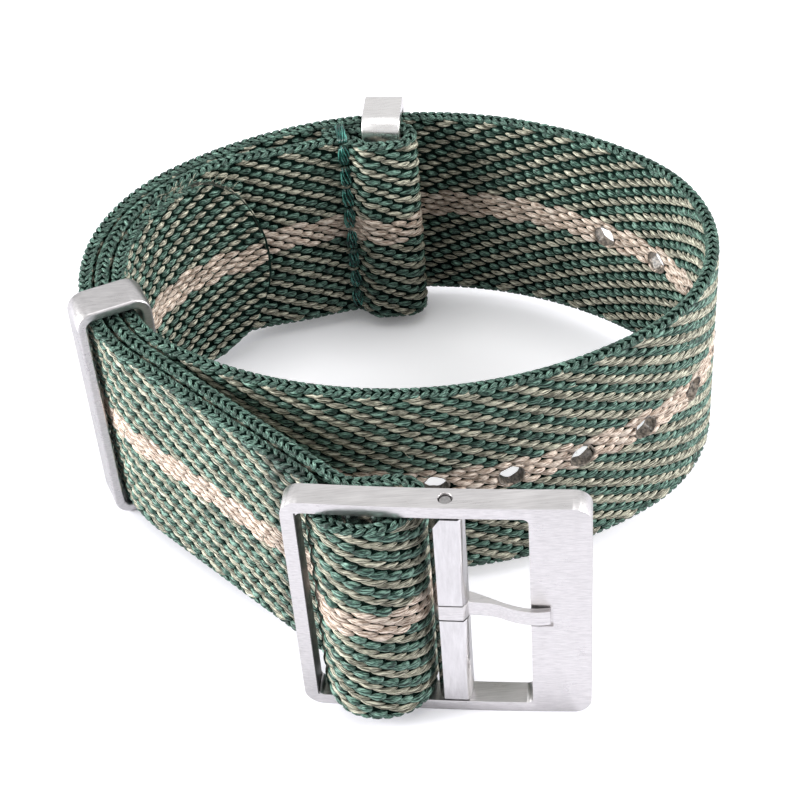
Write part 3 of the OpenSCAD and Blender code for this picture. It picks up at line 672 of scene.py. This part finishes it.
def math_node(tree, operation, *sources, clamp=False):
    """The result of a Math node whose inputs are sockets or plain numbers."""
    node = tree.nodes.new("ShaderNodeMath")
    node.operation = operation
    node.use_clamp = clamp
    for place, source in zip(node.inputs, sources):
        if isinstance(source, bpy.types.NodeSocket):
            tree.links.new(source, place)
        else:
            place.default_value = source
    return node.outputs["Value"]


def range_node(tree, value, low, high, first=0.0, last=1.0, clamp=True):
    """The value mapped from first..last to low..high."""
    node = tree.nodes.new("ShaderNodeMapRange")
    node.clamp = clamp
    for name, number in (("From Min", first), ("From Max", last), ("To Min", low), ("To Max", high)):
        node.inputs[name].default_value = number
    tree.links.new(value, node.inputs["Value"])
    return node.outputs["Result"]


def turned_node(tree, place, turn, scale=(1.0, 1.0, 1.0)):
    """Coordinates scaled and turned about Z."""
    node = tree.nodes.new("ShaderNodeMapping")
    node.inputs["Rotation"].default_value = (0, 0, math.radians(turn))
    node.inputs["Scale"].default_value = scale
    tree.links.new(place, node.inputs["Vector"])
    return node.outputs["Vector"]


def noise_node(tree, place, scale, detail, roughness=0.5):
    """Noise at the given coordinates."""
    node = tree.nodes.new("ShaderNodeTexNoise")
    node.inputs["Scale"].default_value = scale
    node.inputs["Detail"].default_value = detail
    node.inputs["Roughness"].default_value = roughness
    tree.links.new(place, node.inputs["Vector"])
    return node.outputs["Fac"]


def ramp_node(tree, value, stops):
    """The colour at value between (position, colour) stops."""
    node = tree.nodes.new("ShaderNodeValToRGB")
    elements = node.color_ramp.elements
    for number, (position, colour) in ((0, stops[0]), (1, stops[-1])):
        elements[number].position = position
        elements[number].color = (*colour, 1)
    for position, colour in stops[1:-1]:
        elements.new(position).color = (*colour, 1)
    tree.links.new(value, node.inputs["Fac"])
    return node.outputs["Color"]


def scaled_colour(tree, colour, share):
    """The colour times the share."""
    node = tree.nodes.new("ShaderNodeVectorMath")
    node.operation = "SCALE"
    tree.links.new(colour, node.inputs[0])
    tree.links.new(share, node.inputs["Scale"])
    return node.outputs["Vector"]


def add_relief(tree, surface, height, strength, depth):
    """Lifts the surface by a texture, depth in metres."""
    node = tree.nodes.new("ShaderNodeBump")
    node.inputs["Strength"].default_value = strength
    node.inputs["Distance"].default_value = depth
    tree.links.new(height, node.inputs["Height"])
    tree.links.new(node.outputs["Normal"], surface.inputs["Normal"])


def object_place(tree):
    """Object coordinates."""
    return tree.nodes.new("ShaderNodeTexCoord").outputs["Object"]


def yarn_material(name, deep, middle, lit, gloss, shine, fineness=15.0, relief=1.0):
    """Fine filaments along the yarn: noise drawn out along U, one patch for each float's tone,
    gives the colour, partly the yarn's own mottling and partly painted shade between the filaments
    (deep) and painted glints on them (lit), and the same noise lifts the filaments."""
    material, tree, surface = blank_material(name)
    uv = tree.nodes.new("ShaderNodeUVMap")
    uv.uv_map = "yarn"
    tone = tree.nodes.new("ShaderNodeAttribute")
    tone.attribute_name = "tone"
    patch = tree.nodes.new("ShaderNodeVectorMath")
    patch.operation = "MULTIPLY_ADD"
    patch.inputs[1].default_value = (41.0, 17.0, 5.0)
    spread = turned_node(tree, uv.outputs["UV"], 4, (2.6, fineness, 1.0))
    tree.links.new(tone.outputs["Fac"], patch.inputs[0])
    tree.links.new(spread, patch.inputs[2])
    noise = noise_node(tree, patch.outputs["Vector"], 1.0, 3.0, 0.6)
    colour = ramp_node(tree, noise, [(0.41, deep), (0.5, middle), (0.6, lit)])
    fade = range_node(tree, tone.outputs["Fac"], 0.78, 1.12, clamp=False)
    tree.links.new(scaled_colour(tree, colour, fade), surface.inputs["Base Color"])
    add_relief(tree, surface, noise, relief, 0.08 * MM)
    surface.inputs["Roughness"].default_value = gloss
    surface.inputs["Specular IOR Level"].default_value = shine
    return material


def rough_material(name, dark, light, scale, gloss, shine, relief):
    """Mottled melted or matted nylon: noise on Object coordinates in colour and relief."""
    material, tree, surface = blank_material(name)
    noise = noise_node(tree, object_place(tree), scale, 4.0)
    tree.links.new(ramp_node(tree, noise, [(0.3, dark), (0.7, light)]), surface.inputs["Base Color"])
    add_relief(tree, surface, noise, relief, 0.08 * MM)
    surface.inputs["Roughness"].default_value = gloss
    surface.inputs["Specular IOR Level"].default_value = shine
    return material


def steel_material(name, dark, light, streaks, turn, gloss, relief):
    """Stainless steel: noise drawn out along the grinding direction in colour, gloss and relief,
    over a faint cloudiness in the gloss. streaks gives the noise scale along the turned X, Y
    and Z, and gloss the lowest and highest roughness."""
    material, tree, surface = blank_material(name)
    place = object_place(tree)
    noise = noise_node(tree, turned_node(tree, place, turn, streaks), 1.0, 5.0, 0.65)
    tree.links.new(ramp_node(tree, noise, [(0.3, dark), (0.7, light)]), surface.inputs["Base Color"])
    both = math_node(tree, "ADD", noise, noise_node(tree, place, 500.0, 2.0))
    tree.links.new(range_node(tree, both, gloss[0], gloss[1], 0.6, 1.4), surface.inputs["Roughness"])
    add_relief(tree, surface, noise, relief, 0.02 * MM)
    surface.inputs["Metallic"].default_value = 1.0
    return material


def paint_wall_shade(material, turn, plane, reach, share):
    """Painted shade on the wall that lies at plane along the turned X, up to
    reach above and below the middle height: the colour drops to the given share and the metal
    no longer shines, standing in for the shadow and dark reflection there."""
    tree = material.node_tree
    surface = tree.nodes["Principled BSDF"]
    clean = surface.inputs["Base Color"].links[0].from_socket
    parts = tree.nodes.new("ShaderNodeSeparateXYZ")
    tree.links.new(turned_node(tree, object_place(tree), turn), parts.inputs["Vector"])
    on_plane = math_node(tree, "COMPARE", parts.outputs["X"], plane * MM, WALL_NEAR * MM)
    between = math_node(tree, "COMPARE", parts.outputs["Z"], WEB_MID * MM, reach * MM)
    wall = math_node(tree, "MULTIPLY", on_plane, between)
    shaded = scaled_colour(tree, clean, range_node(tree, wall, 1.0, share))
    tree.links.new(shaded, surface.inputs["Base Color"])
    tree.links.new(math_node(tree, "SUBTRACT", 1.0, wall), surface.inputs["Metallic"])
    surface.inputs["Specular IOR Level"].default_value = 0.1


def softened_edges(piece, width):
    """Worn corners on a steel part: its doubled points welded, corners over 30 degrees rounded."""
    weld = piece.modifiers.new("weld", "WELD")
    weld.merge_threshold = 0.002 * MM
    bevel = piece.modifiers.new("worn_edges", "BEVEL")
    bevel.width = width
    bevel.segments = 2
    bevel.limit_method = "ANGLE"
    bevel.angle_limit = math.radians(30)
    bevel.harden_normals = True


# Materials
green = yarn_material(
    "green_nylon", deep=(0.007, 0.023, 0.018), middle=(0.040, 0.101, 0.076), lit=(0.28, 0.47, 0.38),
    gloss=0.38, shine=0.3)
khaki = yarn_material(
    "khaki_nylon", deep=(0.08, 0.077, 0.057), middle=(0.35, 0.341, 0.262), lit=(0.82, 0.80, 0.64),
    gloss=0.45, shine=0.25)
tan = yarn_material(
    "tan_nylon", deep=(0.27, 0.19, 0.14), middle=(0.68, 0.55, 0.45), lit=(0.97, 0.86, 0.75),
    gloss=0.45, shine=0.25)
# The webbing's ground, near black: painted shade for the gaps between the yarns
ground_and_gap_shade = rough_material(
    "webbing_ground", dark=(0.002, 0.006, 0.005), light=(0.008, 0.018, 0.014), scale=2500.0,
    gloss=1.0, shine=0.0, relief=0.5)
melted = rough_material(
    "melted_nylon", dark=(0.008, 0.007, 0.006), light=(0.33, 0.28, 0.23), scale=4500.0,
    gloss=0.3, shine=0.6, relief=0.8)
seared = rough_material(
    "seared_nylon", dark=(0.003, 0.005, 0.004), light=(0.05, 0.055, 0.042), scale=3000.0,
    gloss=0.5, shine=0.2, relief=0.5)
# The sewing thread's lit stop is bright: painted glints on the stitches
sewing = yarn_material(
    "sewing_thread", deep=(0.003, 0.04, 0.033), middle=(0.010, 0.115, 0.092), lit=(0.14, 0.48, 0.40),
    gloss=0.22, shine=0.8, fineness=3.0, relief=0.3)
buckle_steel = steel_material(
    "brushed_buckle_steel", dark=(0.63, 0.612, 0.612), light=(0.82, 0.797, 0.799),
    streaks=(500, 9000, 9000), turn=BUCKLE_TURN, gloss=(0.24, 0.42), relief=0.35)
keeper_steel = steel_material(
    "brushed_keeper_steel", dark=(0.54, 0.525, 0.53), light=(0.74, 0.72, 0.725),
    streaks=(700, 7000, 7000), turn=-8, gloss=(0.22, 0.42), relief=0.35)
ring_steel = steel_material(
    "brushed_ring_steel", dark=(0.78, 0.76, 0.755), light=(0.97, 0.955, 0.95),
    streaks=(500, 8000, 8000), turn=0, gloss=(0.2, 0.36), relief=0.25)
bright_steel = steel_material(
    "polished_steel", dark=(0.64, 0.625, 0.63), light=(0.80, 0.785, 0.79),
    streaks=(4000, 4000, 600), turn=BUCKLE_TURN, gloss=(0.12, 0.26), relief=0.15)
# Dark steel for the spring bar's tips: painted shade for the pin holes they sit in
shaded_pin_steel = steel_material(
    "pin_steel_painted_shade", dark=(0.26, 0.25, 0.25), light=(0.46, 0.45, 0.45),
    streaks=(4000, 4000, 600), turn=BUCKLE_TURN, gloss=(0.3, 0.5), relief=0.3)
# Painted shade on the buckle's left bar's inner wall
paint_wall_shade(buckle_steel, BUCKLE_TURN, LEFT_WALL, WALL_HALF, 0.1)

# The webbing
core = webbing_core(ground_and_gap_shade)
yarns = [green, khaki, tan]
SECTIONS = [
    ("weave_fold", 0.0, 31.0), ("weave_middle_layer", 31.0, 78.5), ("weave_turn", 78.5, 103.0),
    ("weave_outer_left", 103.0, 147.2), ("weave_back", 147.2, 192.1), ("weave_right", 192.1, 217.3),
    ("weave_front", 217.3, 257.7), ("weave_tail", 257.7, WEB_END),
]
soft = [core]
for name, first, last in SECTIONS:
    soft.append(yarn_piece(name, face_floats(1, first, last) + face_floats(-1, first, last), yarns))
for name, edge in (("selvage_top", 1), ("selvage_bottom", -1)):
    soft.append(yarn_piece(name, selvage_braid(edge), yarns, SELVAGE_SHADE_TONES))
soft.append(loose_fibres([green, khaki]))
soft.append(hole_rims(melted))
soft.append(tip_seal(seared))
for piece in soft:
    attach(piece, "strap")
    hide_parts("strap_webbing")

stitching = fold_stitching(sewing)
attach(stitching, "strap")
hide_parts("fold_stitches")

# The steel parts keep their solids, with their corners rounded by so many millimetres
STEEL = [
    ("buckle_frame", buckle_steel, 0.16),
    ("loop_bar", bright_steel, 0.1),
    ("keeper", keeper_steel, 0.2),
    ("slider_ring", ring_steel, 0.14),
    ("tongue", buckle_steel, 0.08),
    ("sleeve_upper", bright_steel, 0.05),
    ("sleeve_lower", bright_steel, 0.05),
    ("spring_bar_barrel", bright_steel, 0.03),
    ("spring_bar_spring", bright_steel, 0.0),
    ("spring_bar_tip_upper", shaded_pin_steel, 0.05),
    ("spring_bar_tip_lower", shaded_pin_steel, 0.05),
]
for node, material, rounding in STEEL:
    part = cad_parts[node]
    part.material_slots[0].material = material
    if rounding:
        softened_edges(part, rounding * MM)

# Floor: pale, with the soft shadow of the strap, and white where the camera sees it; near the strap the
# camera's glow is cut by ambient occlusion, which paints contact shade
FLOOR_HALF, FLOOR_DROP = 2, 2e-5
floor_mesh = bpy.data.meshes.new("floor")
corners = [(x * FLOOR_HALF, y * FLOOR_HALF, -FLOOR_DROP) for x, y in ((-1, -1), (1, -1), (1, 1), (-1, 1))]
floor_mesh.from_pydata(corners, [], [(0, 1, 2, 3)])
floor = bpy.data.objects.new("floor", floor_mesh)
bpy.context.scene.collection.objects.link(floor)
floor_paint, tree, surface = blank_material("floor_paint")
surface.inputs["Base Color"].default_value = (0.74, 0.735, 0.78, 1)
surface.inputs["Roughness"].default_value = 0.5
surface.inputs["Specular IOR Level"].default_value = 0.25
seen = tree.nodes.new("ShaderNodeLightPath")
# Painted contact shade: ambient occlusion cuts the camera's glow near the strap
open_sky = tree.nodes.new("ShaderNodeAmbientOcclusion")
open_sky.samples = 4
open_sky.inputs["Distance"].default_value = 7 * MM
shown = math_node(tree, "MULTIPLY", seen.outputs["Is Camera Ray"], open_sky.outputs["AO"])
surface.inputs["Emission Color"].default_value = (1, 1, 1, 1)
tree.links.new(math_node(tree, "MULTIPLY", shown, 0.6), surface.inputs["Emission Strength"])
floor_mesh.materials.append(floor_paint)

# A white room: full white to the camera and in the steel, dimmer as light
world = bpy.data.worlds.new("white_room")
bpy.context.scene.world = world
world.use_nodes = True
tree = world.node_tree
tree.nodes.clear()
output = tree.nodes.new("ShaderNodeOutputWorld")
dim = tree.nodes.new("ShaderNodeBackground")
dim.inputs["Color"].default_value = (0.97, 0.98, 1.0, 1)
dim.inputs["Strength"].default_value = 0.23
white = tree.nodes.new("ShaderNodeBackground")
white.inputs["Strength"].default_value = 1.0
seen = tree.nodes.new("ShaderNodeLightPath")
direct = math_node(tree, "ADD", seen.outputs["Is Camera Ray"], seen.outputs["Is Glossy Ray"])
any_sight = math_node(tree, "ADD", direct, seen.outputs["Is Transmission Ray"], clamp=True)
choice = tree.nodes.new("ShaderNodeMixShader")
tree.links.new(any_sight, choice.inputs["Fac"])
tree.links.new(dim.outputs["Background"], choice.inputs[1])
tree.links.new(white.outputs["Background"], choice.inputs[2])
tree.links.new(choice.outputs["Shader"], output.inputs["Surface"])

# Square soft lamps turned towards the strap: place and size in metres, power in watts
LAMP_TARGET = Vector((0, 0, 0.01))
LAMPS = [
    ("key_left", (-0.340, -0.045, 0.155), 0.18, 2.4),
    ("key_right", (0.352, -0.035, 0.185), 0.22, 1.95),
    ("top_soft", (0.0, -0.02, 0.42), 0.30, 0.35),
]
for name, place, size, power in LAMPS:
    light = bpy.data.lights.new(name, "AREA")
    light.size = size
    light.energy = power
    lamp = bpy.data.objects.new(name, light)
    lamp.location = place
    lamp.rotation_mode = "QUATERNION"
    lamp.rotation_quaternion = (LAMP_TARGET - Vector(place)).to_track_quat("-Z", "Y")
    bpy.context.scene.collection.objects.link(lamp)

# The camera of the photograph, as fitted to it: its axes and its place in metres
camera_data = bpy.data.cameras.new("photo_camera")
camera_data.lens = 90.09
camera_data.sensor_width = 36.0
camera_data.clip_start = 0.01
camera_data.clip_end = 10.0
camera = bpy.data.objects.new("photo_camera", camera_data)
right = (0.99649286, -0.05653193, -0.06169378)
up = (0.08367784, 0.67322082, 0.7346916)
back = (0.0, -0.73727734, 0.67559021)
spot = (-0.000484, -0.124858, 0.123824)
camera.matrix_world = Matrix([(right[i], up[i], back[i], spot[i]) for i in range(3)] + [(0, 0, 0, 1)])
bpy.context.scene.collection.objects.link(camera)
bpy.context.scene.camera = camera
bpy.context.scene.view_settings.view_transform = "Standard"
